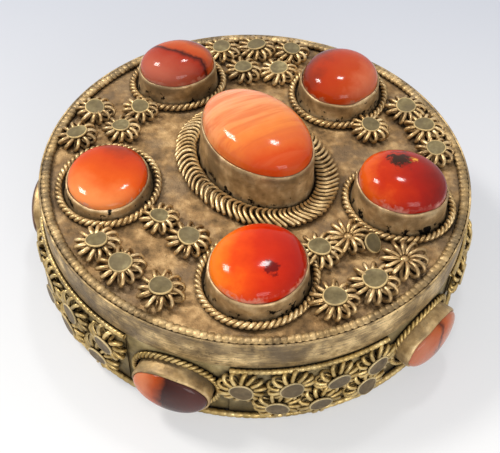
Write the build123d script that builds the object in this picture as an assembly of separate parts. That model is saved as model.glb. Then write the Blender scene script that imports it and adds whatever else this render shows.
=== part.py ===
from build123d import *
import math
import os

# A round trinket box of gilt sheet with a lift-off lid, set with carnelians.
# Millimetres, +Z up, origin at the centre of the flat underside.

# Body
body_radius = 41.8
body_height = 16.0
wall_thickness = 0.9
floor_thickness = 1.0
collar_thickness = 0.7
collar_base = 7.0
collar_rise = 4.3
foot_wire_width = 1.4
foot_wire_height = 1.4
top_wire_width = 0.8
top_wire_height = 0.8
top_wire_drop = 0.4

# Lid
skirt_height = 6.5
skirt_thickness = 0.8
plate_thickness = 0.8
lip_height = 0.8
rim_wire_width = 1.6
rim_wire_height = 1.3

# Clearances
lid_clearance = 0.3
seat_gap = 0.02
stone_gap = 0.08
rosette_gap = 0.15
side_rosette_gap = 0.8

# Centre stone: plan x, y, half length, half width, turn, cup height, dome rise
centre_cup = (0.0, 1.0, 13.0, 9.3, 131.0, 8.4, 4.6)

# Outer stones: angle round the lid, setback of the centre from the rim wire, then as above
lid_cups = (
    (-167.5, 10.9, 8.8, 8.0, 88.0, 2.6, 2.2),
    (-87.9, 12.2, 9.3, 8.6, 42.0, 4.4, 3.6),
    (-16.1, 11.1, 8.8, 7.9, 153.0, 5.6, 4.0),
    (53.4, 11.1, 8.8, 8.2, 57.0, 4.6, 3.6),
    (124.7, 9.4, 8.2, 7.0, 17.0, 4.8, 3.2),
)
cup_wall = 0.5
cup_flare = 0.7
cup_sides = 24
dome_rings = 3
side_stone_angles = (-108.0, -41.0, 32.0, 105.0, 179.0)
side_cup_length = 7.0
side_cup_width = 5.4
side_cup_height = 3.4
side_cup_rise = 0.2
side_cup_flare = 0.4
side_dome_rise = 1.9
side_root_depth = 1.6

# Rope wires laid around the cups
rope_diameter = 1.4
rope_gap = 0.05
side_rope_diameter = 1.2

# Coil of wire around the centre cup
coil_turns = 64
coil_points_per_turn = 6
coil_wire = 0.56
coil_wire_sides = 4
coil_width = 4.4
coil_height = 2.0
coil_end_gap = 0.4

# Rosettes of looped wire, and the small discs on them
rosette_radius = 3.4
rosette_height = 2.2
rosette_lobes = 10
lobe_depth = 0.7
disc_radius = 2.0
disc_thickness = 0.5
disc_sides = 8
side_rosette_height = 1.9
# Lid rosettes between one outer stone and the next: inset of the centre from the rim wire,
# angle round the lid, and whether it still has its disc
lid_rosettes = (
    ((3.6, -145.5, True), (4.0, -132.5, True), (4.2, -119.5, True), (17.6, -139.5, True), (16.9, -121.5, True)),
    ((4.0, -66.0, True), (4.2, -53.0, True), (4.2, -39.5, False), (17.6, -55.0, True), (12.5, -44.2, False)),
    ((4.2, 5.2, True), (4.2, 18.0, True), (4.2, 31.0, True), (13.5, 24.2, False)),
    ((4.2, 78.0, True), (4.2, 90.5, True), (3.8, 103.1, True), (11.5, 81.8, True), (11.6, 97.5, True)),
    ((4.2, 157.0, True), (4.0, 170.0, True), (12.2, 153.0, True)),
)

wall_inner_radius = body_radius - wall_thickness
collar_inner_radius = wall_inner_radius - collar_thickness
collar_top = body_height + collar_rise
lid_top = body_height + skirt_height
skirt_inner_radius = wall_inner_radius + lid_clearance
lid_radius = skirt_inner_radius + skirt_thickness
rim_inner_radius = skirt_inner_radius - rim_wire_width
plate_top = lid_top - lip_height
plate_bottom = plate_top - plate_thickness
side_top = body_height - top_wire_drop - top_wire_height
side_cup_level = (foot_wire_height + body_height) / 2 - side_cup_rise
side_cup_reach = side_cup_length + side_cup_flare + rope_gap + side_rope_diameter
side_upper_level = side_top - rosette_gap - rosette_radius
side_lower_level = foot_wire_height + rosette_gap + rosette_radius


def save(shape, name):
    shape.label = name
    export_step(shape, os.path.join("parts", name + ".step"))


def tube(outer_radius, inner_radius, low, high):
    """Plain round band between two heights."""
    band = Circle(outer_radius) - Circle(inner_radius)
    return Pos(0, 0, low) * extrude(band, high - low)


def wire_profile(inner_radius, low, width, height):
    """Half-round wire section in the XZ plane, flat below and against the wall behind it."""
    shoulder = width * 0.3
    points = (
        (inner_radius, low),
        (inner_radius + width, low),
        (inner_radius + width - shoulder, low + height),
        (inner_radius, low + height),
    )
    return Plane.XZ * make_face(Polyline(*points, close=True))


def ellipse_points(half_length, half_width, level):
    """Corners of a many-sided ellipse, starting on its long axis."""
    steps = [math.tau * step / cup_sides for step in range(cup_sides)]
    return [(half_length * math.cos(a), half_width * math.sin(a), level) for a in steps]


def ellipse_face(half_length, half_width, level):
    points = ellipse_points(half_length, half_width, level)
    return Face(Wire.make_polygon([Vector(*point) for point in points], close=True))


def cup(half_length, half_width, height, flare, root=0.0):
    """Open wall of sheet around a stone: splayed at the foot, straight inside."""
    foot = ellipse_face(half_length + flare, half_width + flare, -root)
    rim = ellipse_face(half_length, half_width, height)
    hollow = ellipse_face(half_length - cup_wall, half_width - cup_wall, -root)
    outside = loft([foot, rim], ruled=True)
    return outside - extrude(hollow, height + root, dir=(0, 0, 1))


def stone(half_length, half_width, height, rise):
    """Polished stone with a flat back, a straight girdle inside the cup and a domed top above it."""
    inset = cup_wall + stone_gap
    long_radius = half_length - inset
    short_radius = half_width - inset
    points = ellipse_points(long_radius, short_radius, 0)
    for ring in range(dome_rings):
        angle = math.pi / 2 * ring / dome_rings
        shrink = math.cos(angle)
        level = height + rise * math.sin(angle)
        points += ellipse_points(long_radius * shrink, short_radius * shrink, level)
    points.append((0, 0, height + rise))
    return ConvexPolyhedron(points)


def rope(half_length, half_width, diameter):
    """Wire ring that lies around the foot of a cup."""
    outer = ellipse_face(half_length + diameter, half_width + diameter, 0)
    crown_outer = ellipse_face(half_length + diameter * 0.7, half_width + diameter * 0.7, diameter)
    hollow = ellipse_face(half_length, half_width, 0)
    return loft([outer, crown_outer], ruled=True) - extrude(hollow, diameter, dir=(0, 0, 1))


def rosette(height):
    """Ring of wire loops, with one point of the outline for each loop."""
    corners = []
    for corner in range(2 * rosette_lobes):
        angle = math.pi * corner / rosette_lobes
        reach = rosette_radius - lobe_depth * (corner % 2)
        corners.append((reach * math.cos(angle), reach * math.sin(angle)))
    return extrude(make_face(Polyline(*corners, close=True)), height)


def disc():
    return extrude(RegularPolygon(disc_radius, disc_sides), disc_thickness)


def on_lid(x, y, turn, shape):
    return Pos(x, y, plate_top) * Rot(0, 0, turn) * shape


def on_side(angle, level, shape):
    """Stands a shape built upwards in Z on the wall, facing outwards, its X axis along the wall."""
    face = Plane(origin=(body_radius + seat_gap, 0, level), x_dir=(0, 1, 0), z_dir=(1, 0, 0))
    return Rot(0, 0, angle) * (face.location * shape)


def beyond_wall(shape):
    """Hollows the back of a piece to the curve of the wall."""
    return shape - Cylinder(body_radius + seat_gap, 4 * body_height)


def centre_coil():
    """One wire wound into a flattened coil that runs once around the centre cup."""
    x, y, half_length, half_width, turn, height, rise = centre_cup
    reach = cup_flare + rope_gap + coil_width / 2
    ring_length = half_length + reach
    ring_width = half_width + reach
    swing = (coil_width - coil_wire) / 2
    lift = (coil_height - coil_wire) / 2
    around = math.tau - coil_end_gap / ring_width
    count = coil_turns * coil_points_per_turn
    places = []
    for step in range(count + 1):
        along = around * step / count
        curl = math.tau * (step + 0.5) / coil_points_per_turn
        centre = Vector(ring_length * math.cos(along), ring_width * math.sin(along), coil_height / 2 + seat_gap)
        tangent = Vector(-ring_length * math.sin(along), ring_width * math.cos(along), 0).normalized()
        outward = tangent.cross(Vector(0, 0, 1))
        places.append(centre + outward * (swing * math.cos(curl)) + Vector(0, 0, lift * math.sin(curl)))
    print("least gap between turns of the coil", round(least_gap(places, coil_points_per_turn), 3))
    start = Plane(origin=places[0], z_dir=places[1] - places[0])
    section = start * RegularPolygon(coil_wire / 2, coil_wire_sides)
    wire = sweep(section, path=Polyline(*places), transition=Transition.RIGHT)
    return on_lid(x, y, turn, wire)


def least_gap(places, per_turn):
    """Least clear distance between one turn of a wire and the next, run against run."""
    runs = [Line(a, b) for a, b in zip(places, places[1:])]
    gaps = []
    for number, run in enumerate(runs):
        for other in runs[number + per_turn // 2 + 1:number + per_turn * 3 // 2 + 1]:
            gaps.append(run.distance_to(other))
    return min(gaps) - coil_wire


def lid_stones():
    reach = cup_flare + rope_gap
    for number, (angle, setback, half_length, half_width, turn, height, rise) in enumerate(lid_cups, start=1):
        radius = rim_inner_radius - setback
        x = radius * math.cos(math.radians(angle))
        y = radius * math.sin(math.radians(angle))
        save(on_lid(x, y, turn, cup(half_length, half_width, height, cup_flare)), f"lid_bezel_{number}")
        save(on_lid(x, y, turn, stone(half_length, half_width, height, rise)), f"lid_stone_{number}")
        ring = rope(half_length + reach, half_width + reach, rope_diameter)
        save(on_lid(x, y, turn, ring), f"lid_rope_{number}")
    x, y, half_length, half_width, turn, height, rise = centre_cup
    save(on_lid(x, y, turn, cup(half_length, half_width, height, cup_flare)), "centre_bezel")
    save(on_lid(x, y, turn, stone(half_length, half_width, height, rise)), "centre_stone")
    save(centre_coil(), "centre_coil")


def lid_decoration():
    discs = []
    for number, cluster in enumerate(lid_rosettes, start=1):
        rosettes = []
        for inset, angle, has_disc in cluster:
            spot = Rot(0, 0, angle) * Pos(rim_inner_radius - inset, 0, plate_top)
            rosettes.append(spot * rosette(rosette_height))
            if has_disc:
                discs.append(spot * Pos(0, 0, rosette_height) * disc())
        save(Compound(children=rosettes), f"lid_rosettes_{number}")
    save(Compound(children=discs), "lid_discs")


def side_stones():
    for number, angle in enumerate(side_stone_angles, start=1):
        walls = cup(side_cup_length, side_cup_width, side_cup_height, side_cup_flare, side_root_depth)
        save(beyond_wall(on_side(angle, side_cup_level, walls)), f"side_bezel_{number}")
        gem = stone(side_cup_length, side_cup_width, side_cup_height, side_dome_rise)
        save(on_side(angle, side_cup_level, gem), f"side_stone_{number}")
        save(side_rope(angle), f"side_rope_{number}")


def side_rope(angle):
    """Wire ring around a side cup, bent to the curve of the wall."""
    reach = side_cup_flare + rope_gap
    inner = Ellipse(side_cup_length + reach, side_cup_width + reach)
    reach += side_rope_diameter
    outer = Ellipse(side_cup_length + reach, side_cup_width + reach)
    band = Pos(0, 0, -side_root_depth) * extrude(outer - inner, side_root_depth + side_rope_diameter)
    ring = beyond_wall(on_side(angle, side_cup_level, band))
    return ring & Cylinder(body_radius + side_rope_diameter, 4 * body_height)


def panels():
    """Start and width, in degrees, of each stretch of wall between two side ropes."""
    margin = math.degrees(side_cup_reach / body_radius)
    stops = side_stone_angles + (side_stone_angles[0] + 360.0,)
    return [(start + margin, end - start - 2 * margin) for start, end in zip(stops, stops[1:])]


def side_decoration():
    """Two staggered rows of rosettes on each panel, as many as its width takes."""
    discs = []
    apart = 2 * rosette_radius + side_rosette_gap
    rows_apart = side_upper_level - side_lower_level
    diagonal = 2 * rosette_radius + rosette_gap
    sideways = math.sqrt(max(diagonal ** 2 - rows_apart ** 2, 0))
    step = math.degrees(max(apart, 2 * sideways) / body_radius)
    own_width = math.degrees(2 * rosette_radius / body_radius)
    for number, (start, width) in enumerate(panels(), start=1):
        upper_count = int((width - own_width) / step) + 1
        rosettes = []
        for level, count in ((side_upper_level, upper_count), (side_lower_level, upper_count - 1)):
            for place in range(count):
                angle = start + width / 2 + step * (place - (count - 1) / 2)
                rosettes.append(on_side(angle, level, rosette(side_rosette_height)))
                discs.append(on_side(angle, level, Pos(0, 0, side_rosette_height) * disc()))
        save(Compound(children=rosettes), f"side_rosettes_{number}")
    save(Compound(children=discs), "side_discs")


def top_wire():
    """Thin wire along the top of each side panel, from one side rope to the next."""
    profile = wire_profile(body_radius + seat_gap, side_top, top_wire_width, top_wire_height)
    return Compound(children=[Rot(0, 0, start) * revolve(profile, Axis.Z, width) for start, width in panels()])


def box_body():
    save(Pos(0, 0, 0) * extrude(Circle(wall_inner_radius), floor_thickness), "base_floor")
    save(tube(body_radius, wall_inner_radius, 0, body_height), "base_wall")
    save(tube(wall_inner_radius, collar_inner_radius, collar_base, collar_top), "base_collar")
    foot = wire_profile(body_radius, 0, foot_wire_width, foot_wire_height)
    save(revolve(foot, Axis.Z), "base_foot_wire")
    save(top_wire(), "base_top_wire")


def lid_body():
    save(tube(lid_radius, skirt_inner_radius, body_height, lid_top), "lid_skirt")
    plate = extrude(Circle(skirt_inner_radius), plate_thickness)
    save(Pos(0, 0, plate_bottom) * plate, "lid_plate")
    rim = wire_profile(rim_inner_radius, plate_top, rim_wire_width, rim_wire_height)
    save(revolve(rim, Axis.Z), "lid_rim_wire")


os.makedirs("parts", exist_ok=True)
box_body()
side_stones()
side_decoration()
lid_body()
lid_stones()
lid_decoration()
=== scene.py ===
# Round trinket box of worn gilt metal, set with carnelians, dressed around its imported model.
import bpy
import numpy as np
from mathutils import Matrix, Vector


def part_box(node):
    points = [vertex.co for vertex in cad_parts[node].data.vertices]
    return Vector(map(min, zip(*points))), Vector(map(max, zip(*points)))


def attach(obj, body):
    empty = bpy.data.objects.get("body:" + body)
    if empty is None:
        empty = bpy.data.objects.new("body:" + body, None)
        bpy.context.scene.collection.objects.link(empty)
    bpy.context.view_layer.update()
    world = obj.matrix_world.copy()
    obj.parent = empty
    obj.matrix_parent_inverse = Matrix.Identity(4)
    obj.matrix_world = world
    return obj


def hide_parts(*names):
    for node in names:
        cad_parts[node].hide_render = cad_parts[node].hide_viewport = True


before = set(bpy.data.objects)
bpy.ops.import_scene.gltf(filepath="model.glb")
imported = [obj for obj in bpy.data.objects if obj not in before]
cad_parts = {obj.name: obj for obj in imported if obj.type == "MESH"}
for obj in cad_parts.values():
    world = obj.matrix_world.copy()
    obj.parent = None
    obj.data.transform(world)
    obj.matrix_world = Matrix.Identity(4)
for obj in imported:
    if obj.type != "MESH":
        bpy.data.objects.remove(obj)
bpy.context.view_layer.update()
mm = 0.001  # lengths below are in millimetres
dice = np.random.default_rng(7)
print("frame loaded:", len(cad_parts), "nodes")


def nodeBox(name):
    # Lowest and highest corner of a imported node, in millimetres.
    low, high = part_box(name)
    return np.array(low) / mm, np.array(high) / mm


def middleOf(name):
    low, high = nodeBox(name)
    return (low + high) / 2


plateTop = nodeBox("lid_plate")[1][2]
skirtLow, skirtHigh = nodeBox("lid_skirt")
lidRadius = (skirtHigh[0] - skirtLow[0]) / 2
skirtInside = nodeBox("lid_rim_wire")[1][0]  # the skirt starts where the rim wire ends
wallLow, wallHigh = nodeBox("base_wall")
wallRadius = wallHigh[0]
collarRadius = nodeBox("base_collar")[1][0]


# Meshes from numpy arrays

upward = np.array([0, 0, 1.0])


def unit(v):
    return v / np.linalg.norm(v, axis=-1, keepdims=True)


def polar(radius, angle, level):
    # Points at a radius and angle (radians) round the axis, at a level.
    reach = radius * np.cos(angle)
    return np.stack([reach, radius * np.sin(angle), np.broadcast_to(level, reach.shape)], -1)


def ellipse(half, turn):
    # Points (a cos t, b sin t, 0) of an ellipse and its outward normals, along (b cos t, a sin t, 0).
    base = np.stack([half[0] * np.cos(turn), half[1] * np.sin(turn), 0 * turn], -1)
    return base, unit(np.stack([half[1] * np.cos(turn), half[0] * np.sin(turn), 0 * turn], -1))


def gridFaces(rows, cols, closeRows=True, closeCols=True):
    # Quads between neighbours of a rows x cols grid, wrapping round where it closes.
    i, j = np.meshgrid(np.arange(rows - (not closeRows)), np.arange(cols - (not closeCols)), indexing="ij")
    k, m = (i + 1) % rows, (j + 1) % cols
    quads = np.stack([i * cols + j, k * cols + j, k * cols + m, i * cols + m], -1)
    return [quads.reshape(-1, 4)]


def tube(path, up, radius, sides=7, closed=True):
    # A circle of the given radius carried along the path; up only steadies its turning.
    along = np.roll(path, -1, 0) - np.roll(path, 1, 0)
    if not closed:
        along = np.gradient(path, axis=0)
    along = unit(along)
    across = unit(np.cross(along, up))
    over = np.cross(across, along)
    turn = np.linspace(0, 2 * np.pi, sides, endpoint=False)[None, :, None]
    radius = np.broadcast_to(radius, len(path))[:, None, None]
    points = path[:, None] + radius * (np.cos(turn) * across[:, None] + np.sin(turn) * over[:, None])
    faces = gridFaces(len(path), sides, closed, True)
    if not closed:
        last = (len(path) - 1) * sides
        faces += [np.arange(sides)[None, ::-1], np.arange(last, last + sides)[None]]
    return points.reshape(-1, 3), faces


def joined(parts):
    # Several (points, blocks of faces) pairs as one.
    points, faces, start = [], [], 0
    for somePoints, blocks in parts:
        points.append(somePoints)
        faces += [block + start for block in blocks]
        start += len(somePoints)
    return np.concatenate(points), faces


def addPiece(name, shape, material, body, stands=(), edge=None):
    # Makes the mesh in metres, smooth shaded, riding on its body in place of its nodes.
    points, faces = shape
    mesh = bpy.data.meshes.new(name)
    mesh.from_pydata((points * mm).tolist(), [], [face for block in faces for face in block.tolist()])
    mesh.polygons.foreach_set("use_smooth", [True] * len(mesh.polygons))
    mesh.materials.append(material)
    if edge is not None:  # 1 on a bright rim, 0 elsewhere
        mesh.attributes.new("edge", "FLOAT", "POINT").data.foreach_set("value", edge.astype(np.float32))
    piece = bpy.data.objects.new(name, mesh)
    bpy.context.scene.collection.objects.link(piece)
    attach(piece, body)
    if stands:
        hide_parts(*stands)


def ovalRing(half, profile, count=96):
    # A closed profile of (offset, height) pairs carried round an ellipse, offset along its outward normal.
    turn = np.linspace(0, 2 * np.pi, count, endpoint=False)
    base, outward = ellipse(half, turn)
    offset, height = np.array(profile, float).T
    points = base[:, None] + outward[:, None] * offset[None, :, None]
    points[..., 2] += height
    return points, turn


def turned(points, degrees):
    a = np.radians(degrees)
    spin = np.array([[np.cos(a), -np.sin(a), 0], [np.sin(a), np.cos(a), 0], [0, 0, 1]])
    return points @ spin.T


def onWall(points, degrees, level):
    # Stands points built upwards in Z on the round wall: their X runs along the wall, bent to the curve.
    x, y, z = np.moveaxis(points, -1, 0)
    return polar(wallRadius + z, np.radians(degrees) + x / wallRadius, level + y)


def laidDown(shape, degrees, place):
    # A shape turned about the vertical and set down at its place.
    points, faces = shape
    return turned(points, degrees) + place, faces


def stoodUp(shape, degrees, level):
    # A shape stood on the wall.
    points, faces = shape
    return onWall(points, degrees, level), faces


# Materials

def newMaterial(name):
    material = bpy.data.materials.new(name)
    material.use_nodes = True
    nodes = material.node_tree.nodes
    return material, nodes, material.node_tree.links, nodes["Principled BSDF"]


def noise(nodes, links, coords, scale, detail=3.0, roughness=0.55, distortion=0.0):
    node = nodes.new("ShaderNodeTexNoise")
    node.inputs["Scale"].default_value = scale
    node.inputs["Detail"].default_value = detail
    node.inputs["Roughness"].default_value = roughness
    node.inputs["Distortion"].default_value = distortion
    links.new(coords, node.inputs["Vector"])
    return node.outputs["Fac"]


def ramp(nodes, links, factor, stops):
    # A colour ramp of (position, colour) stops.
    node = nodes.new("ShaderNodeValToRGB")
    elements = node.color_ramp.elements
    while len(elements) < len(stops):
        elements.new(0.5)
    for element, (position, colour) in zip(elements, stops):
        element.position = position
        element.color = (*colour, 1)
    links.new(factor, node.inputs["Fac"])
    return node.outputs["Color"]


def feed(links, socket, value):
    # A number or a colour is set on the socket, an output is linked to it.
    if isinstance(value, (int, float)):
        socket.default_value = value
    elif isinstance(value, tuple):
        socket.default_value = (*value, 1)
    else:
        links.new(value, socket)


def mixed(nodes, links, factor, first, second):
    node = nodes.new("ShaderNodeMix")
    node.data_type = "RGBA"
    for key, value in (("Factor", factor), ("A", first), ("B", second)):
        feed(links, node.inputs[key], value)
    return node.outputs["Result"]


def ranged(nodes, links, value, low, high, toLow=0.0, toHigh=1.0):
    node = nodes.new("ShaderNodeMapRange")
    for key, number in (("From Min", low), ("From Max", high), ("To Min", toLow), ("To Max", toHigh)):
        node.inputs[key].default_value = number
    links.new(value, node.inputs["Value"])
    return node.outputs["Result"]


def calculated(nodes, links, operation, first, second):
    node = nodes.new("ShaderNodeMath")
    node.operation = operation
    for socket, value in zip(node.inputs, (first, second)):
        feed(links, socket, value)
    return node.outputs[0]


def separated(nodes, links, coords):
    # The X, Y and Z outputs of a vector.
    node = nodes.new("ShaderNodeSeparateXYZ")
    links.new(coords, node.inputs[0])
    return node.outputs["X"], node.outputs["Y"], node.outputs["Z"]


def roundGrain(nodes, links, coords, spec):
    # Noise drawn out round the axis: it reads the angle, shrunk, and the height.
    x, y, z = separated(nodes, links, coords)
    flat = nodes.new("ShaderNodeCombineXYZ")
    angle = calculated(nodes, links, "ARCTAN2", y, x)
    links.new(calculated(nodes, links, "MULTIPLY", angle, spec["shrink"]), flat.inputs["X"])
    links.new(z, flat.inputs["Y"])
    return noise(nodes, links, flat.outputs[0], spec["scale"], 5.0, 0.7)


# Dark colour of the pits, also used for the painted shade in crevices and where parts meet
pitAndShadeColour = (0.022, 0.015, 0.009)
spotBlack = (0.008, 0.006, 0.005)
grainSpec = dict(scale=3500.0, shrink=0.004)  # brush strokes along the skirt
metalSpec = dict(grain=8, broad=0.35, spots=480.0, bump=0.15)  # grain and broad: times a metal's scale


def agedMetal(name, spec):
    # Worn metal: three-colour patches, broad stains of tarnish, pits, and painted shade in crevices and
    # where surfaces meet.
    material, nodes, links, shader = newMaterial(name)
    coords = nodes.new("ShaderNodeTexCoord").outputs["Object"]
    scale = spec["scale"]
    colour = ramp(nodes, links, noise(nodes, links, coords, scale, 6.0, 0.65), spec["colours"])
    if "edge" in spec:  # bright rim, marked on the mesh
        mark = nodes.new("ShaderNodeAttribute")
        mark.attribute_name = "edge"
        colour = mixed(nodes, links, mark.outputs["Fac"], colour, spec["edge"])
    grain = noise(nodes, links, coords, scale * metalSpec["grain"], 4.0, 0.7)
    if "streaks" in spec:  # dark and light brush strokes
        strokes = roundGrain(nodes, links, coords, grainSpec)
        dark = ranged(nodes, links, strokes, 0.50, 0.62, 0.0, 0.7)
        light = ranged(nodes, links, strokes, 0.42, 0.34, 0.0, 0.6)
        colour = mixed(nodes, links, dark, colour, spec["streaks"])
        colour = mixed(nodes, links, light, colour, spec["colours"][-1][1])
    broad = noise(nodes, links, coords, scale * metalSpec["broad"], 5.0, 0.65)
    stains = ranged(nodes, links, broad, 0.47, 0.60, 0.0, spec["stain"])
    colour = mixed(nodes, links, stains, colour, spec["tarnish"])
    pits = ranged(nodes, links, grain, 0.60, 0.68, 0.0, spec["pits"])
    colour = mixed(nodes, links, pits, colour, pitAndShadeColour)
    if "foot" in spec:  # black spots low on the cups
        low, high = spec["foot"]
        near = ranged(nodes, links, separated(nodes, links, coords)[2], low * mm, high * mm, 0.13, 0.0)
        spots = noise(nodes, links, coords, metalSpec["spots"], 4.0, 0.6)
        dirt = calculated(nodes, links, "ADD", near, spots)
        colour = mixed(nodes, links, ranged(nodes, links, dirt, 0.68, 0.72), colour, spotBlack)
    # Painted shade: ambient occlusion darkens the colour to the dark pit colour in crevices and where parts
    # meet
    hollow = nodes.new("ShaderNodeAmbientOcclusion")
    hollow.inputs["Distance"].default_value = spec["reach"] * mm
    hollow.samples = 8
    clear = ranged(nodes, links, hollow.outputs["AO"], *spec["shade"])
    colour = mixed(nodes, links, clear, pitAndShadeColour, colour)
    links.new(colour, shader.inputs["Base Color"])
    shader.inputs["Metallic"].default_value = spec["metallic"]
    shader.inputs["Specular IOR Level"].default_value = 0.2
    links.new(ranged(nodes, links, grain, 0.3, 0.7, *spec["rough"]), shader.inputs["Roughness"])
    relief = nodes.new("ShaderNodeBump")
    relief.inputs["Strength"].default_value = spec["bump"]
    relief.inputs["Distance"].default_value = metalSpec["bump"] * mm
    links.new(grain, relief.inputs["Height"])
    links.new(relief.outputs["Normal"], shader.inputs["Normal"])
    return material


plateMetal = agedMetal("worn plate", dict(
    colours=((0.32, (0.105, 0.061, 0.025)), (0.50, (0.335, 0.200, 0.083)), (0.67, (0.66, 0.435, 0.205))),
    tarnish=(0.165, 0.112, 0.066), stain=0.75, pits=0.85, scale=300.0, reach=1.6, shade=(0.18, 0.70),
    metallic=0.35, rough=(0.40, 0.62), bump=1.0))
wireMetal = agedMetal("gilt wire", dict(
    colours=((0.32, (0.30, 0.185, 0.072)), (0.50, (0.60, 0.41, 0.190)), (0.68, (0.88, 0.68, 0.38))),
    tarnish=(0.24, 0.155, 0.078), stain=0.6, pits=0.4, scale=330.0, reach=1.1, shade=(0.18, 0.62),
    metallic=0.7, rough=(0.24, 0.42), bump=0.2))
rimMetal = agedMetal("rim wire", dict(
    colours=((0.34, (0.150, 0.095, 0.040)), (0.50, (0.36, 0.24, 0.105)), (0.66, (0.70, 0.50, 0.25))),
    tarnish=(0.145, 0.105, 0.060), stain=0.8, pits=0.7, scale=260.0, reach=1.1, shade=(0.20, 0.70),
    metallic=0.55, rough=(0.30, 0.52), bump=0.5))
sideWireMetal = agedMetal("side wire", dict(
    colours=((0.32, (0.26, 0.175, 0.055)), (0.50, (0.55, 0.385, 0.145)), (0.68, (0.86, 0.66, 0.31))),
    tarnish=(0.24, 0.18, 0.09), stain=0.6, pits=0.4, scale=330.0, reach=1.2, shade=(0.15, 0.60),
    metallic=0.65, rough=(0.26, 0.44), bump=0.2))
cupMetal = agedMetal("cup sheet", dict(
    colours=((0.30, (0.20, 0.125, 0.058)), (0.50, (0.46, 0.305, 0.150)), (0.68, (0.76, 0.57, 0.33))),
    tarnish=(0.20, 0.140, 0.078), stain=0.7, pits=0.55, scale=300.0, reach=1.0, shade=(0.10, 0.50),
    foot=(plateTop + 1.7, plateTop + 3.6), metallic=0.6, rough=(0.28, 0.50), bump=0.5))
sideCupMetal = agedMetal("side cup sheet", dict(
    colours=((0.30, (0.22, 0.140, 0.060)), (0.50, (0.48, 0.325, 0.150)), (0.68, (0.76, 0.57, 0.30))),
    tarnish=(0.18, 0.130, 0.075), stain=0.8, pits=0.65, scale=300.0, reach=1.0, shade=(0.10, 0.50),
    metallic=0.55, rough=(0.30, 0.55), bump=0.5))
discMetal = agedMetal("disc brass", dict(
    colours=((0.30, (0.100, 0.076, 0.034)), (0.52, (0.180, 0.140, 0.066)), (0.72, (0.30, 0.25, 0.125))),
    tarnish=(0.125, 0.096, 0.055), stain=0.5, pits=0.4, scale=520.0, reach=0.6, shade=(0.10, 0.50),
    edge=(0.60, 0.44, 0.20), metallic=0.4, rough=(0.46, 0.62), bump=0.35))
sideDiscMetal = agedMetal("side disc", dict(
    colours=((0.30, (0.090, 0.062, 0.032)), (0.52, (0.165, 0.118, 0.062)), (0.72, (0.28, 0.205, 0.115))),
    tarnish=(0.105, 0.080, 0.048), stain=0.5, pits=0.4, scale=520.0, reach=0.6, shade=(0.10, 0.50),
    edge=(0.62, 0.49, 0.26), metallic=0.4, rough=(0.44, 0.60), bump=0.35))
skirtMetal = agedMetal("skirt band", dict(
    colours=((0.36, (0.135, 0.090, 0.042)), (0.50, (0.440, 0.305, 0.140)), (0.62, (0.82, 0.60, 0.30))),
    tarnish=(0.165, 0.120, 0.072), stain=0.85, pits=0.75, scale=210.0, reach=0.9, shade=(0.10, 0.55),
    streaks=(0.085, 0.060, 0.040), metallic=0.5, rough=(0.36, 0.58), bump=0.8))
wallMetal = agedMetal("body sheet", dict(
    colours=((0.30, (0.110, 0.082, 0.032)), (0.52, (0.300, 0.225, 0.098)), (0.72, (0.56, 0.44, 0.22))),
    tarnish=(0.120, 0.096, 0.055), stain=0.7, pits=0.65, scale=240.0, reach=1.8, shade=(0.25, 0.80),
    metallic=0.5, rough=(0.38, 0.60), bump=0.6))


gemSpec = dict(cloud=0.16, ragged=0.9, patch=0.11)  # noise scales, per millimetre


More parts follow.
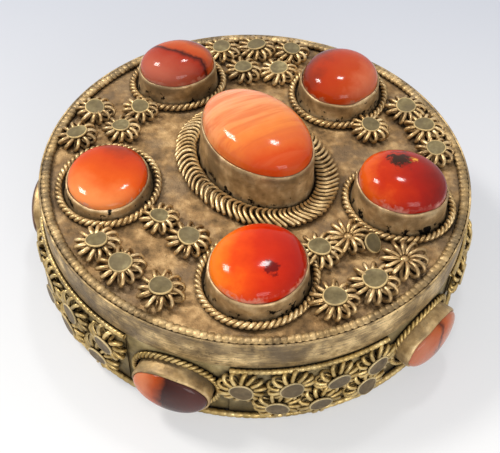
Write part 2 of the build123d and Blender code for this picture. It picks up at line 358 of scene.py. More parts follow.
def agate(name, spec, centre):
    # Polished agate: colours along one direction bent by cloudy noise, fine bands, spots and a worn rim.
    material, nodes, links, shader = newMaterial(name)
    coords = nodes.new("ShaderNodeTexCoord").outputs["Object"]
    place = nodes.new("ShaderNodeMapping")
    place.vector_type = "TEXTURE"  # undoes the stone's place: its own millimetres come out
    place.inputs["Location"].default_value = tuple(centre * mm)
    place.inputs["Rotation"].default_value = (0, 0, np.radians(spec["along"]))
    place.inputs["Scale"].default_value = (mm, mm, mm)
    links.new(coords, place.inputs["Vector"])
    own = place.outputs["Vector"]
    x, _, z = separated(nodes, links, own)
    cloud = noise(nodes, links, own, gemSpec["cloud"], 4.0, 0.6)
    bend = ranged(nodes, links, cloud, 0.25, 0.75, -spec["wander"], spec["wander"])
    laid = calculated(nodes, links, "ADD", x, bend)
    colour = ramp(nodes, links, ranged(nodes, links, laid, -spec["reach"], spec["reach"]), spec["colours"])
    if "bands" in spec:  # noise squeezed along the run of colour gives thin uneven bands
        spacing, amount, bandColour = spec["bands"]
        squeeze = nodes.new("ShaderNodeMapping")
        squeeze.inputs["Scale"].default_value = (1 / spacing, 0.05, 0.30)
        links.new(own, squeeze.inputs["Vector"])
        lines = noise(nodes, links, squeeze.outputs["Vector"], 1.0, 3.0, 0.6, 0.5)
        shown = ranged(nodes, links, lines, 0.42, 0.62, 0.0, amount)
        colour = mixed(nodes, links, shown, colour, bandColour)
    ragged = noise(nodes, links, own, gemSpec["ragged"], 4.0, 0.65)
    for offset, size, spotColour in spec.get("spots", ()):
        away = nodes.new("ShaderNodeVectorMath")
        away.operation = "DISTANCE"
        away.inputs[1].default_value = tuple((centre + offset) * mm)
        links.new(coords, away.inputs[0])
        torn = ranged(nodes, links, ragged, 0.3, 0.7, -0.6 * size * mm, 0.6 * size * mm)
        near = calculated(nodes, links, "ADD", away.outputs["Value"], torn)
        within = ranged(nodes, links, near, 0.55 * size * mm, size * mm, 1, 0)
        colour = mixed(nodes, links, within, colour, spotColour)
    if "worn" in spec:  # chipped and chalky above the cup's lip
        wornColour, wornHeight = spec["worn"]
        rise = calculated(nodes, links, "ADD", z, ranged(nodes, links, ragged, 0.3, 0.7, -0.9, 0.9))
        chalk = ranged(nodes, links, rise, 0.2, wornHeight, 0.85, 0.0)
        patch = ranged(nodes, links, noise(nodes, links, own, gemSpec["patch"], 2.0), 0.44, 0.54)
        colour = mixed(nodes, links, calculated(nodes, links, "MULTIPLY", chalk, patch), colour, wornColour)
    links.new(colour, shader.inputs["Base Color"])
    shader.inputs["Roughness"].default_value = 0.10
    shader.inputs["IOR"].default_value = 1.5
    shader.inputs["Specular IOR Level"].default_value = 0.16
    shader.inputs["Subsurface Weight"].default_value = 0.2
    shader.inputs["Subsurface Radius"].default_value = (1.0, 0.25, 0.1)
    shader.inputs["Subsurface Scale"].default_value = 1.6 * mm
    return material


print("materials ready")


# Stones in their cups

lidCups = {
    "centre": dict(half=(13.0, 9.3), turn=131.0, rise=4.6, fullness=2.7),
    "1": dict(half=(8.8, 8.0), turn=88.0, rise=2.3, fullness=2.8),
    "2": dict(half=(9.3, 8.6), turn=42.0, rise=3.8, fullness=2.5),
    "3": dict(half=(8.8, 7.9), turn=153.0, rise=4.2, fullness=2.4),
    "4": dict(half=(8.8, 8.2), turn=57.0, rise=4.2, fullness=2.4),
    "5": dict(half=(8.2, 7.0), turn=17.0, rise=4.2, fullness=2.4),
}
sideCup = dict(half=(7.0, 5.4), height=3.4, rise=1.72, fullness=2.4, flare=0.4)
flatCup = dict(sideCup, height=2.7, rise=1.1)  # the side stone at the left is a thin one
cupWall = 0.45
cupFlare = 0.7
cupPlay = 0.02  # between a stone and its cup
dents = dict(lip=0.22, side=0.010, stone=0.014)  # millimetres up the lip, shares of the plan
sideSeeds = dict(cup=40, stone=60)


def cupShape(half, height, flare, seed):
    # Cup wall: out at the foot, nearly upright, rolled in over the stone, its lip a little uneven.
    profile = [(flare, 0.0), (flare * 0.55, height * 0.10), (flare * 0.22, height * 0.35),
               (0.05, height * 0.7), (0.0, height * 0.9), (-0.12, height), (-0.32, height + 0.12),
               (-0.5, height + 0.02), (-cupWall, height * 0.85), (-cupWall, 0.0)]
    points, turn = ovalRing(half, profile)
    rng = np.random.default_rng(seed)
    waves = sum(rng.uniform(0.2, 1.0) / k * np.sin(k * turn + rng.uniform(0, 6.28)) for k in range(2, 9))
    waves = waves / np.abs(waves).max()
    share = np.clip(np.array(profile)[:, 1] / height, 0, 1)
    points[..., 2] += dents["lip"] * waves[:, None] * share ** 2
    points[..., :2] *= 1 + dents["side"] * np.roll(waves, 20)[:, None, None] * share[None, :, None]
    return points.reshape(-1, 3), gridFaces(len(turn), len(profile))


def stoneShape(half, height, rise, fullness, seed):
    # Cabochon: straight girdle, then a dome (r/R)^n + (z/rise)^n = 1, a little out of true.
    inset = cupWall + cupPlay
    long, short = half[0] - inset, half[1] - inset
    girdle = height - 0.1  # its top, just under the cup's lip
    curve = 2 / fullness
    angle = np.linspace(0, np.pi / 2, 17)[1:-1]
    shrink = np.concatenate([[0.98, 1.0, 1.0], np.cos(angle) ** curve])
    level = np.concatenate([[0.05, 0.3, girdle], girdle + (rise + 0.1) * np.sin(angle) ** curve])
    count = 72
    turn = np.linspace(0, 2 * np.pi, count, endpoint=False)
    rng = np.random.default_rng(seed)
    drift = sum(dents["stone"] / k * np.cos(k * turn + rng.uniform(0, 6.28)) for k in range(2, 6))
    above = np.clip((level - height) / rise, 0, 1)[None, :]
    swell = 1 + drift[:, None] * np.sin(np.pi * above)
    x = long * np.cos(turn)[:, None] * shrink * swell
    y = short * np.sin(turn)[:, None] * shrink * swell
    points = np.stack([x, y, np.broadcast_to(level, x.shape)], -1).reshape(-1, 3)
    rings = len(level)
    faces = gridFaces(count, rings, True, False)
    top = len(points)
    points = np.concatenate([points, [[0, 0, height + rise], [0, 0, level[0]]]])
    foot = np.arange(count) * rings
    nextFoot = np.roll(foot, -1)
    faces.append(np.stack([foot + rings - 1, nextFoot + rings - 1, np.full(count, top)], -1))
    faces.append(np.stack([nextFoot, foot, np.full(count, top + 1)], -1))
    return points, faces


strandSpec = dict(steps=480, sides=6, reach=0.92, full=1.06)  # reach and full: shares of its radius


def ropePath(half, pitch, strandRadius):
    # Two strands that wind round an ellipse, each half a turn from the other.
    turn = np.linspace(0, 2 * np.pi, strandSpec["steps"], endpoint=False)
    base, outward = ellipse(half, turn)
    length = np.linalg.norm(np.roll(base, -1, 0) - base, axis=1).sum()
    twists = round(length / pitch)
    strands = []
    for phase in (0, np.pi):
        swing = twists * turn + phase
        lean = outward * np.cos(swing)[:, None] + upward * np.sin(swing)[:, None]
        strands.append((base + lean * strandRadius * strandSpec["reach"], lean))
    return strands


def ropeShape(half, spec, place=lambda points: points):
    # Twisted wire: two strands, each a tube a quarter of the rope in radius.
    diameter = spec["diameter"]
    strandRadius = diameter / 4
    parts = []
    for path, lean in ropePath(half, spec["pitch"], strandRadius):
        path = path + upward * diameter / 2
        up = place(path + lean) - place(path)
        parts.append(tube(place(path), up, strandRadius * strandSpec["full"], strandSpec["sides"]))
    return joined(parts)


def coilShape(half, spec):
    # One wire wound into a flat coil round an ellipse, its turns lying over like spilled coins.
    perTurn = 24
    turns, wire = spec["turns"], spec["wire"]
    step = np.arange(turns * perTurn + 1)
    along = 2 * np.pi * spec["span"] * step / step[-1] + spec["start"]
    curl = 2 * np.pi * step / perTurn
    knots = np.random.default_rng(spec["seed"]).normal(0, 1, (turns + 2, 3))
    number = step / perTurn
    wander = np.stack([np.interp(number, np.arange(turns + 2), knots[:, k]) for k in range(3)], -1)
    wider, taller, further = (np.array(spec["uneven"]) * wander).T
    swing = (spec["width"] - wire) / 2 * (1 + wider)
    lift = (spec["height"] - wire) / 2 * (1 + taller)
    base, outward = ellipse(half, along)
    base = base + upward * spec["height"] / 2
    forward = np.cross(upward, outward)
    lean = outward * np.cos(curl)[:, None] + upward * np.sin(curl)[:, None]
    path = base + outward * (swing * np.cos(curl))[:, None] + upward * (lift * np.sin(curl))[:, None]
    slant = spec["slant"] * np.cos(curl) + spec["bow"] * np.cos(2 * curl) + spec["lay"] * np.sin(curl)
    path = path + forward * (slant + further)[:, None]
    return tube(path, lean, wire / 2, 7, closed=False)


# Carnelians: along is the plan direction of the colour run, spots are offsets from the cup's lip
carnelians = {
    "centre": dict(along=-62, reach=11, wander=1.6, bands=(1.5, 0.55, (0.62, 0.11, 0.03)), colours=(
        (0.05, (0.84, 0.37, 0.20)), (0.35, (0.82, 0.32, 0.125)), (0.65, (0.76, 0.22, 0.045)),
        (0.95, (0.60, 0.065, 0.008)))),
    "1": dict(along=-112, reach=8, wander=2.2, worn=((0.55, 0.26, 0.17), 0.5), colours=(
        (0.05, (0.30, 0.030, 0.008)), (0.25, (0.56, 0.050, 0.004)), (0.60, (0.68, 0.090, 0.005)),
        (0.95, (0.80, 0.24, 0.065)))),
    "2": dict(along=180, reach=8, wander=2.6, worn=((0.66, 0.28, 0.19), 1.1), colours=(
        (0.05, (0.42, 0.010, 0.002)), (0.50, (0.60, 0.024, 0.001)), (0.72, (0.74, 0.060, 0.002)),
        (0.95, (0.88, 0.18, 0.008))), spots=[((2.2, -3.2, 3.2), 1.6, (0.16, 0.003, 0.001))]),
    "3": dict(along=180, reach=8, wander=3.0, worn=((0.56, 0.24, 0.19), 1.4), colours=(
        (0.05, (0.20, 0.006, 0.003)), (0.40, (0.34, 0.009, 0.002)), (0.75, (0.50, 0.026, 0.002)),
        (0.95, (0.68, 0.095, 0.008))), spots=[((-0.6, 2.6, 3.8), 2.6, (0.035, 0.010, 0.003)),
                                              ((1.8, 2.4, 3.6), 1.0, (0.80, 0.38, 0.04))]),
    "4": dict(along=150, reach=8, wander=3.0, worn=((0.36, 0.17, 0.10), 0.6), colours=(
        (0.05, (0.56, 0.13, 0.055)), (0.30, (0.46, 0.050, 0.006)), (0.65, (0.42, 0.034, 0.004)),
        (0.95, (0.14, 0.018, 0.008)))),
    "5": dict(along=-116, reach=7, wander=1.2, worn=((0.50, 0.20, 0.14), 0.9), colours=(
        (0.05, (0.16, 0.024, 0.014)), (0.28, (0.52, 0.090, 0.016)), (0.44, (0.46, 0.060, 0.010)),
        (0.50, (0.050, 0.006, 0.004)), (0.58, (0.34, 0.026, 0.008)), (0.95, (0.46, 0.11, 0.065)))),
}
sideCarnelians = {
    # Side stone 1: the bright orange its colour run starts with is a painted highlight; the dark band and
    # the dark purple-brown end are the stone's own colour.
    1: dict(reach=6, wander=1.2, colours=((0.08, (0.62, 0.19, 0.08)), (0.30, (0.42, 0.065, 0.008)),
                                          (0.46, (0.035, 0.006, 0.004)), (0.92, (0.085, 0.030, 0.026)))),
    2: dict(reach=6, wander=1.8, colours=((0.08, (0.50, 0.17, 0.095)), (0.40, (0.44, 0.095, 0.022)),
                                          (0.50, (0.10, 0.022, 0.010)), (0.60, (0.46, 0.10, 0.028)),
                                          (0.92, (0.52, 0.19, 0.10)))),
    3: dict(reach=6, wander=2.0, colours=((0.10, (0.32, 0.03, 0.008)), (0.50, (0.50, 0.05, 0.006)),
                                          (0.90, (0.60, 0.14, 0.02)))),
    4: dict(reach=6, wander=2.0, colours=((0.10, (0.48, 0.09, 0.015)), (0.50, (0.34, 0.03, 0.006)),
                                          (0.90, (0.18, 0.015, 0.006)))),
    5: dict(reach=6, wander=2.0, colours=((0.10, (0.050, 0.018, 0.010)), (0.50, (0.080, 0.024, 0.012)),
                                          (0.90, (0.120, 0.050, 0.022)))),
}

ropeSpec = dict(diameter=1.55, gap=0.05, pitch=2.3)
sideRopeSpec = dict(diameter=1.25, gap=0.05, pitch=2.0)
coilSpec = dict(width=4.5, height=1.9, wire=0.68, turns=76, slant=0.95, bow=0.42, lay=-0.50,
                span=0.992, start=-0.9, uneven=(0.04, 0.10, 0.10), gap=0.05, seed=3)  # ends meet at the back
for name, spec in lidCups.items():
    bezel, stone, ring = [f"lid_{part}_{name}" for part in ("bezel", "stone", "rope")]
    if name == "centre":
        bezel, stone, ring = "centre_bezel", "centre_stone", "centre_coil"
    low, high = nodeBox(bezel)
    centre = (low + high) / 2
    height = high[2] - low[2]
    place = np.array([centre[0], centre[1], plateTop])
    seed = sum(map(ord, name))
    shape = laidDown(cupShape(spec["half"], height, cupFlare, len(name) + seed), spec["turn"], place)
    addPiece(bezel.replace("_", "-") + "-sheet", shape, cupMetal, "lid", [bezel])
    dome = stoneShape(spec["half"], height, spec["rise"], spec["fullness"], seed)
    gem = agate(f"carnelian {name}", carnelians[name], place + upward * height)
    shape = laidDown(dome, spec["turn"], place)
    addPiece(stone.replace("_", "-") + "-gem", shape, gem, "lid", [stone])
    if name == "centre":
        reach = cupFlare + coilSpec["width"] / 2 + coilSpec["gap"]
        winding = coilShape(np.array(spec["half"]) + reach, coilSpec)
    else:
        reach = cupFlare + ropeSpec["gap"] + ropeSpec["diameter"] / 2
        winding = ropeShape(np.array(spec["half"]) + reach, ropeSpec)
    shape = laidDown(winding, spec["turn"], place)
    addPiece(ring.replace("_", "-") + "-wire", shape, wireMetal, "lid", [ring])
print("lid stones set")

for number in range(1, 6):
    spec = flatCup if number == 5 else sideCup
    stoneCentre = middleOf(f"side_stone_{number}")
    angle = np.degrees(np.arctan2(stoneCentre[1], stoneCentre[0]))
    level = stoneCentre[2]
    cup = cupShape(spec["half"], spec["height"], spec["flare"], sideSeeds["cup"] + number)
    shape = stoodUp(cup, angle, level)
    addPiece(f"side-bezel-{number}-sheet", shape, sideCupMetal, "box",
             [f"side_bezel_{number}"])
    dome = stoneShape(spec["half"], spec["height"], spec["rise"], spec["fullness"],
                      sideSeeds["stone"] + number)
    gem = agate(f"side carnelian {number}", dict(sideCarnelians[number], along=angle + 90), stoneCentre)
    shape = stoodUp(dome, angle, level)
    addPiece(f"side-stone-{number}-gem", shape, gem, "box", [f"side_stone_{number}"])
    reach = spec["flare"] + sideRopeSpec["diameter"] / 2 + sideRopeSpec["gap"]
    shape = ropeShape(np.array(spec["half"]) + reach, sideRopeSpec,
                      place=lambda points: onWall(points, angle, level))
    addPiece(f"side-rope-{number}-wire", shape, sideWireMetal, "box", [f"side_rope_{number}"])
print("side stones set")


# Rosettes of looped wire

rosetteSpec = dict(loops=12, ringRadius=2.60, swing=1.62, lift=0.88, wire=0.78, spread=-0.03,
                   uneven=(0.07, 0.08, 0.10, 0.05))  # of a loop's width, height, place and angle


def rosetteShape(rng, size=1.0, squash=1.0):
    # A wire coiled into a small closed ring: loops stand on its line, each of its own size and lean.
    spec = rosetteSpec
    loops = spec["loops"] + rng.integers(-1, 2)
    perLoop = 12
    step = np.arange(loops * perLoop)
    along = 2 * np.pi * step / len(step)
    curl = 2 * np.pi * step / perLoop
    knots = rng.normal(0, 1, (loops, 4))
    number = (step // perLoop) % loops
    blend = (step % perLoop) / perLoop
    wander = knots[number] * (1 - blend)[:, None] + knots[(number + 1) % loops] * blend[:, None]
    wider, taller, further, askew = (np.array(spec["uneven"]) * wander).T
    swing = spec["swing"] * (1 + wider)
    lift = spec["lift"] * (1 + taller)
    ring = spec["ringRadius"] + further
    along = along + askew - spec["spread"] * np.sin(curl)
    middle = spec["lift"] + spec["wire"] / 2
    path = polar(ring + swing * np.cos(curl), along, (middle + lift * np.sin(curl)) * squash) * size
    heart = polar(ring, along, middle * squash) * size
    return tube(path, unit(path - heart), spec["wire"] / 2, 6)


def leanAbout(way, lean):
    # Rotation by lean about a level axis that points the given way, both in radians.
    return np.array(Matrix.Rotation(lean, 3, Vector((np.cos(way), np.sin(way), 0))))


def discShape(rng, radius, thickness, level, tilt):
    # Disc snipped from sheet: nearly round, soft at the edge, resting a little crooked on its rosette.
    profile = [(0.15, 0.0), (0.9, 0.0), (0.97, 0.05), (1.0, 0.2), (1.0, thickness - 0.15),
               (0.97, thickness - 0.04), (0.92, thickness), (0.86, thickness - 0.03),
               (0.5, thickness - 0.01), (0.15, thickness)]
    turn = np.linspace(0, 2 * np.pi, 28, endpoint=False)
    oval = 0.04 * rng.normal() * np.cos(2 * turn + rng.uniform(0, 6))
    shape = 1 + oval + 0.03 * np.cos(3 * turn + rng.uniform(0, 6))
    share, height = np.array(profile).T
    x = radius * np.outer(shape * np.cos(turn), share)
    y = radius * np.outer(shape * np.sin(turn), share)
    points = np.stack([x, y, np.broadcast_to(height, x.shape)], -1)
    faces = gridFaces(len(turn), len(share), True, False)
    rings = len(share)
    foot = np.arange(len(turn)) * rings
    faces += [foot[None, ::-1], foot[None] + rings - 1]
    points = points.reshape(-1, 3)
    lean = np.radians(rng.uniform(0.2, 1.0) * tilt)
    way = rng.uniform(0, 2 * np.pi)
    edge = np.tile((share > 0.88).astype(float), len(turn))
    return points @ leanAbout(way, lean).T + upward * level, faces, edge


def laidDiscs(name, discs, material, body, node):
    # All the discs of a body as one piece.
    shape = joined([disc[:2] for disc in discs])
    edge = np.concatenate([disc[2] for disc in discs])
    addPiece(name, shape, material, body, [node], edge)


# Distance from the lid's centre, angle, disc or none, size
lidRosettes = {
    1: [(35.3, -142.6, 1, 0.95), (35.2, -131.2, 1, 1.0), (35.0, -116.6, 1, 1.0), (22.9, -139.6, 1, 0.82),
        (22.9, -120.6, 1, 0.95)],
    2: [(35.2, -66.0, 1, 1.0), (35.3, -52.6, 1, 1.05), (35.3, -39.6, 0, 1.0), (24.3, -60.6, 1, 0.98),
        (24.7, -45.6, 0, 0.95)],
    3: [(36.2, 9.0, 1, 0.90), (36.2, 19.8, 1, 0.95), (35.6, 30.2, 1, 0.95), (25.9, 27.0, 1, 0.90)],
    4: [(36.2, 78.8, 1, 0.92), (36.4, 91.2, 1, 0.95), (36.3, 103.4, 1, 0.92), (29.0, 81.6, 1, 0.92),
        (28.8, 96.8, 1, 0.92)],
    5: [(36.2, 157.2, 1, 0.92), (36.4, 170.0, 1, 0.90), (28.4, 148.4, 1, 0.85), (28.8, 162.0, 1, 0.85)],
}
discSpec = dict(radius=2.2, thickness=0.42, level=2.28, tilt=10.0)
looseDisc = dict(radius=2.0, place=(21.6, -19.2), level=1.5, lean=38.0, way=70.0)
solderSpec = dict(half=(1.8, 1.7), height=0.5, rise=1.3, fullness=2.2)
lidDiscs = []
for cluster, places in lidRosettes.items():
    flowers = []
    for radius, angle, hasDisc, size in places:
        flower = rosetteShape(dice, size)
        spot = polar(radius, np.radians(angle), plateTop)
        flowers.append(laidDown(flower, dice.uniform(0, 360), spot))
        points, faces, edge = discShape(dice, discSpec["radius"] * size, discSpec["thickness"],
                                        discSpec["level"] * size, discSpec["tilt"])
        if hasDisc:
            lidDiscs.append((points + spot, faces, edge))
        else:  # the solder that held it
            points, faces = stoneShape(**solderSpec, seed=cluster)
            flowers.append((points + spot, faces))
    addPiece(f"lid-rosettes-{cluster}-wire", joined(flowers), wireMetal, "lid",
             [f"lid_rosettes_{cluster}"])
# One disc has come off its rosette and leans on it
points, faces, edge = discShape(dice, looseDisc["radius"], discSpec["thickness"], 0.0, 0.0)
leaning = leanAbout(np.radians(looseDisc["way"]), np.radians(looseDisc["lean"]))
spot = np.array([*looseDisc["place"], plateTop + looseDisc["level"]])
lidDiscs.append((points @ leaning.T + spot, faces, edge))
laidDiscs("lid-discs-sheet", lidDiscs, discMetal, "lid", "lid_discs")
print("lid rosettes laid")

sideStoneAngles = []
for number in range(1, 6):
    x, y, _ = middleOf(f"side_stone_{number}")
    sideStoneAngles.append(np.degrees(np.arctan2(y, x)) % 360)


def sidePanel(number):
    # Start and width, in degrees, of the wall between side stone number + 1 and the next.
    start = sideStoneAngles[number]
    return start, (sideStoneAngles[(number + 1) % 5] - start) % 360


sideRows = dict(size=0.98, squash=0.80, upper=11.0, lower=5.0, shift=2.6, apart=8.2,
                sway=0.8, stray=0.4)  # how far a flower strays, in degrees round and millimetres up
sideDiscSpec = dict(radius=2.15, thickness=0.40, level=1.92, tilt=12.0)
sideDiscs = []
sway, stray = sideRows["sway"], sideRows["stray"]
for number in range(5):
    start, width = sidePanel(number)
    step = np.degrees(sideRows["apart"] / wallRadius)
    flowers = []
    for level, count, shift in ((sideRows["upper"], 4, 0.0), (sideRows["lower"], 3, sideRows["shift"])):
        for place in range(count):
            angle = start + width / 2 + shift + step * (place - (count - 1) / 2) + dice.uniform(-sway, sway)
            height = level + dice.uniform(-stray, stray)
            flower = rosetteShape(dice, sideRows["size"], sideRows["squash"])
            flowers.append(stoodUp(laidDown(flower, dice.uniform(0, 360), 0.0), angle, height))
            lean = sideDiscSpec["tilt"] * abs(np.sin(np.radians(angle)))  # upright where the box is widest
            points, faces, edge = discShape(dice, sideDiscSpec["radius"], sideDiscSpec["thickness"],
                                            sideDiscSpec["level"], lean)
            sideDiscs.append((onWall(points, angle, height), faces, edge))
    addPiece(f"side-rosettes-{number + 1}-wire", joined(flowers), sideWireMetal, "box",
             [f"side_rosettes_{number + 1}"])
laidDiscs("side-discs-sheet", sideDiscs, sideDiscMetal, "box", "side_discs")
print("side rosettes laid")


# Bands and wires of the box and lid

def bandShape(profile, waves=0.0, seed=1, count=256):
    # A closed profile of (radius, height) pairs turned about the axis, a little out of round.
    turn = np.linspace(0, 2 * np.pi, count, endpoint=False)
    radius, height = np.array(profile, float).T
    rng = np.random.default_rng(seed)
    drift = sum(rng.uniform(0.3, 1) / k * np.sin(k * turn + rng.uniform(0, 6.28)) for k in range(2, 12))
    points = polar(radius[None, :] + waves * drift[:, None], turn[:, None], height)
    return points.reshape(-1, 3), gridFaces(count, len(profile))


def ribCount(radius, pitch):
    return round(2 * np.pi * radius / pitch)


def ribbedWire(radius, level, thick, ribs, depth, squash=1.0, angles=(0, 360)):
    # A wire nicked once for each rib, its radius 1 - depth * groove, laid in a ring or an arc of one.
    closed = angles[1] - angles[0] >= 360
    share = (angles[1] - angles[0]) / 360
    steps = int(ribs * 9 * share)  # nine to a rib
    turn = np.radians(np.linspace(angles[0], angles[1], steps, endpoint=not closed))
    path = polar(radius, turn, level)
    number = (ribs * turn / (2 * np.pi)).astype(int) % ribs
    uneven = np.random.default_rng(ribs).uniform(0.5, 1.3, ribs + 1)[number]
    groove = (0.5 + 0.5 * np.cos(ribs * turn)) ** 3  # narrow between broad ribs
    swell = thick / 2 * (1 - depth * uneven * groove)
    points, faces = tube(path, upward, swell, 8, closed)
    points[:, 2] = level + (points[:, 2] - level) * squash
    return points, faces


skirtSpec = dict(lip=0.45, waves=0.03, seed=5)
low, high, out, inside = skirtLow[2], skirtHigh[2], lidRadius, skirtInside
lipInside = out - skirtSpec["lip"]
skirtProfile = [(out - 0.12, low), (out, low + 0.12), (out - 0.02, low + 2.0), (out - 0.06, high - 1.4),
                (out - 0.14, high - 0.8), (out - 0.04, high - 0.55), (out, high - 0.25), (out - 0.10, high),
                (lipInside + 0.08, high), (lipInside, high - 0.12), (lipInside, plateTop - 0.2),
                (inside, plateTop - 0.3), (inside, low + 0.1), (inside + 0.1, low)]
shape = bandShape(skirtProfile, skirtSpec["waves"], skirtSpec["seed"])
addPiece("lid-skirt-band", shape, skirtMetal, "lid", ["lid_skirt"])
rimSpec = dict(width=1.95, height=1.25, pitch=1.22, depth=0.24, tuck=0.1, sunk=0.05)
rimRadius = lipInside - rimSpec["width"] / 2 + rimSpec["tuck"]
shape = ribbedWire(rimRadius, plateTop + rimSpec["height"] / 2 - rimSpec["sunk"], rimSpec["width"],
                   ribCount(rimRadius, rimSpec["pitch"]), rimSpec["depth"],
                   rimSpec["height"] / rimSpec["width"])
addPiece("lid-rim-wire", shape, rimMetal, "lid", ["lid_rim_wire"])

wallSpec = dict(waves=0.02, seed=6)
low, high, out, inside = wallLow[2], wallHigh[2], wallRadius, collarRadius
wallProfile = [(out - 0.1, low), (out, low + 0.1), (out - 0.04, (low + high) / 2), (out, high - 0.08),
               (out - 0.08, high), (inside + 0.05, high), (inside, high - 0.1), (inside, low)]
shape = bandShape(wallProfile, wallSpec["waves"], wallSpec["seed"])
addPiece("base-wall-band", shape, wallMetal, "box", ["base_wall"])
footSpec = dict(thick=1.35, pitch=1.5, depth=0.14, sunk=0.06)
footTop = nodeBox("base_foot_wire")[1][2]
footRadius = wallRadius + footSpec["thick"] / 2 - footSpec["sunk"]
shape = ribbedWire(footRadius, footTop / 2, footSpec["thick"], ribCount(footRadius, footSpec["pitch"]),
                   footSpec["depth"])
addPiece("base-foot-wire", shape, sideWireMetal, "box", ["base_foot_wire"])

# Each panel of the side is a strip of sheet laid on the wall, with a ribbed wire along its top
topLow, topHigh = nodeBox("base_top_wire")
panelSpec = dict(margin=13.5, thick=0.35, sunk=0.1, low=1.35, wire=1.1, stand=0.45, pitch=1.0,
                 depth=0.2)


def stripShape(start, end, low, high, inner, outer, count=48):
    # A strip of sheet bent round the wall: its four-cornered section carried along the arc, ends closed.
    turn = np.radians(np.linspace(start, end, count))
    radius, height = np.array([(inner, low), (outer, low), (outer, high), (inner, high)]).T
    points = polar(radius, turn[:, None], height).reshape(-1, 3)
    faces = gridFaces(count, 4, False, True)
    last = (count - 1) * 4
    return points, faces + [np.array([[3, 2, 1, 0]]), last + np.array([[0, 1, 2, 3]])]


strips, wires = [], []
for number in range(5):
    start, width = sidePanel(number)
    start, end = start + panelSpec["margin"], start + width - panelSpec["margin"]
    strips.append(stripShape(start, end, panelSpec["low"], topLow[2], wallRadius - panelSpec["sunk"],
                             wallRadius + panelSpec["thick"]))
    radius = wallRadius + panelSpec["wire"] * panelSpec["stand"]
    ribs = ribCount(wallRadius, panelSpec["pitch"])
    wires.append(ribbedWire(radius, (topLow[2] + topHigh[2]) / 2, panelSpec["wire"], ribs,
                            panelSpec["depth"], angles=(start, end)))
addPiece("base-panels-sheet", joined(strips), wallMetal, "box")
addPiece("base-top-wire", joined(wires), sideWireMetal, "box", ["base_top_wire"])

# The plate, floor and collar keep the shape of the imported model
for name, material in (("lid_plate", plateMetal), ("base_floor", wallMetal), ("base_collar", wallMetal)):
    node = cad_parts[name]
    node.data.materials.clear()
    node.data.materials.append(material)
print("bands and wires done")


# Floor, light and camera

def seenRays(nodes, links):
    # 1 for what the camera sees, straight or in a reflection or through glass
    rays = nodes.new("ShaderNodeLightPath").outputs
    straight = calculated(nodes, links, "MAXIMUM", rays["Is Camera Ray"], rays["Is Glossy Ray"])
    return calculated(nodes, links, "MAXIMUM", straight, rays["Is Transmission Ray"])


# In metres: from near to far the floor turns blue and pale again, deepest about a third of the way
floorSpec = dict(size=3.0, rows=24, drop=0.00005, near=-0.07, far=0.50, deepest=0.34, glow=0.5)
floorColours = ((0.88, 0.88, 0.88), (0.47, 0.49, 0.555))
glowColours = ((1.0, 1.0, 1.0), (0.56, 0.595, 0.68))


def stageFloor():
    # A wide flat floor, pale but bluish behind the box; half of what the eye sees of it is its own glow.
    size, rows = floorSpec["size"], floorSpec["rows"]
    u = np.linspace(-size, size, rows)
    x, y = np.meshgrid(u, u, indexing="ij")
    points = np.stack([x, y, 0 * x - floorSpec["drop"]], -1).reshape(-1, 3)
    mesh = bpy.data.meshes.new("floor")
    mesh.from_pydata(points.tolist(), [], gridFaces(rows, rows, False, False)[0].tolist())
    floor = bpy.data.objects.new("floor", mesh)
    bpy.context.scene.collection.objects.link(floor)
    material, nodes, links, shader = newMaterial("pale floor")
    coords = nodes.new("ShaderNodeTexCoord").outputs["Object"]
    away = ranged(nodes, links, separated(nodes, links, coords)[1], floorSpec["near"], floorSpec["far"])
    shader.inputs["Roughness"].default_value = 0.9
    glow = nodes.new("ShaderNodeEmission")  # lightens the shadow for the eye alone, not the box
    for socket, (pale, blue) in ((shader.inputs["Base Color"], floorColours),
                                 (glow.inputs["Color"], glowColours)):
        stops = ((0.0, pale), (floorSpec["deepest"], blue), (1.0, pale))
        links.new(ramp(nodes, links, away, stops), socket)
    share = calculated(nodes, links, "MULTIPLY", seenRays(nodes, links), floorSpec["glow"])
    blend = nodes.new("ShaderNodeMixShader")
    links.new(share, blend.inputs[0])
    links.new(shader.outputs[0], blend.inputs[1])
    links.new(glow.outputs[0], blend.inputs[2])
    links.new(blend.outputs[0], nodes["Material Output"].inputs["Surface"])
    mesh.materials.append(material)


def softLight(name, direction, distance, size, power, colour=(1, 1, 1)):
    # A square lamp that looks at the box from a direction given as (azimuth, elevation).
    azimuth, elevation = np.radians(direction)
    towards = Vector(polar(np.cos(elevation), azimuth, np.sin(elevation)))
    lamp = bpy.data.lights.new(name, "AREA")
    lamp.size = size
    lamp.energy = power
    lamp.color = colour
    holder = bpy.data.objects.new(name, lamp)
    holder.location = towards * distance
    holder.rotation_mode = "QUATERNION"
    holder.rotation_quaternion = towards.to_track_quat("Z", "Y")
    bpy.context.scene.collection.objects.link(holder)


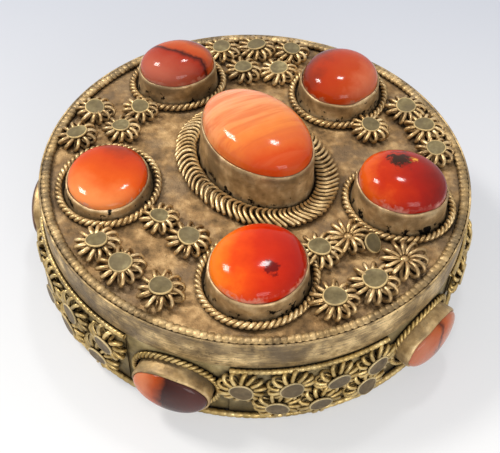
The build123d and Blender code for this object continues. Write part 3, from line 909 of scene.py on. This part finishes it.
lamps = dict(
    key=dict(direction=(158, 52), distance=0.6, size=0.12, power=2.3, colour=(1.0, 0.97, 0.92)),
    top=dict(direction=(76, 66), distance=0.6, size=0.06, power=0.7),
    fill=dict(direction=(-70, 24), distance=0.7, size=0.30, power=1.6))
skySpec = dict(colour=(1.0, 0.99, 0.97), lit=0.52, seen=1.0)  # strength as it lights, and as it is seen


def studio():
    world = bpy.data.worlds.new("studio")
    bpy.context.scene.world = world
    world.use_nodes = True
    nodes, links = world.node_tree.nodes, world.node_tree.links
    background = nodes["Background"]
    strength = ranged(nodes, links, seenRays(nodes, links), 0.0, 1.0, skySpec["lit"], skySpec["seen"])
    links.new(strength, background.inputs["Strength"])
    feed(links, background.inputs["Color"], skySpec["colour"])
    for name, spec in lamps.items():
        softLight(name, **spec)


# Camera solved from the ellipses of the lid and foot in the 500 x 453 frame
cameraSpec = dict(focal=900.0, photoWidth=500, distance=176.43, elevation=49.04, roll=2.14,
                  shiftX=1.11, shiftY=11.78)


def photoCamera():
    spec = cameraSpec
    e, r = np.radians(spec["elevation"]), np.radians(spec["roll"])
    back = np.array([0, -np.cos(e), np.sin(e)])
    right0, up0 = np.array([1.0, 0, 0]), np.array([0, np.sin(e), np.cos(e)])
    right = np.cos(r) * right0 + np.sin(r) * up0
    up = -np.sin(r) * right0 + np.cos(r) * up0
    target = np.array([0, 0, skirtHigh[2]])
    spot = (target + spec["distance"] * back - spec["shiftX"] * right - spec["shiftY"] * up) * mm
    data = bpy.data.cameras.new("camera")
    data.sensor_width = 36.0
    data.lens = spec["focal"] / spec["photoWidth"] * data.sensor_width
    data.clip_start = 0.01
    camera = bpy.data.objects.new("camera", data)
    axes = np.column_stack([right, up, back, spot])
    camera.matrix_world = Matrix(np.vstack([axes, [0, 0, 0, 1]]).tolist())
    bpy.context.scene.collection.objects.link(camera)
    bpy.context.scene.camera = camera


stageFloor()
studio()
photoCamera()
bpy.context.scene.view_settings.view_transform = "Standard"
print("scene ready")
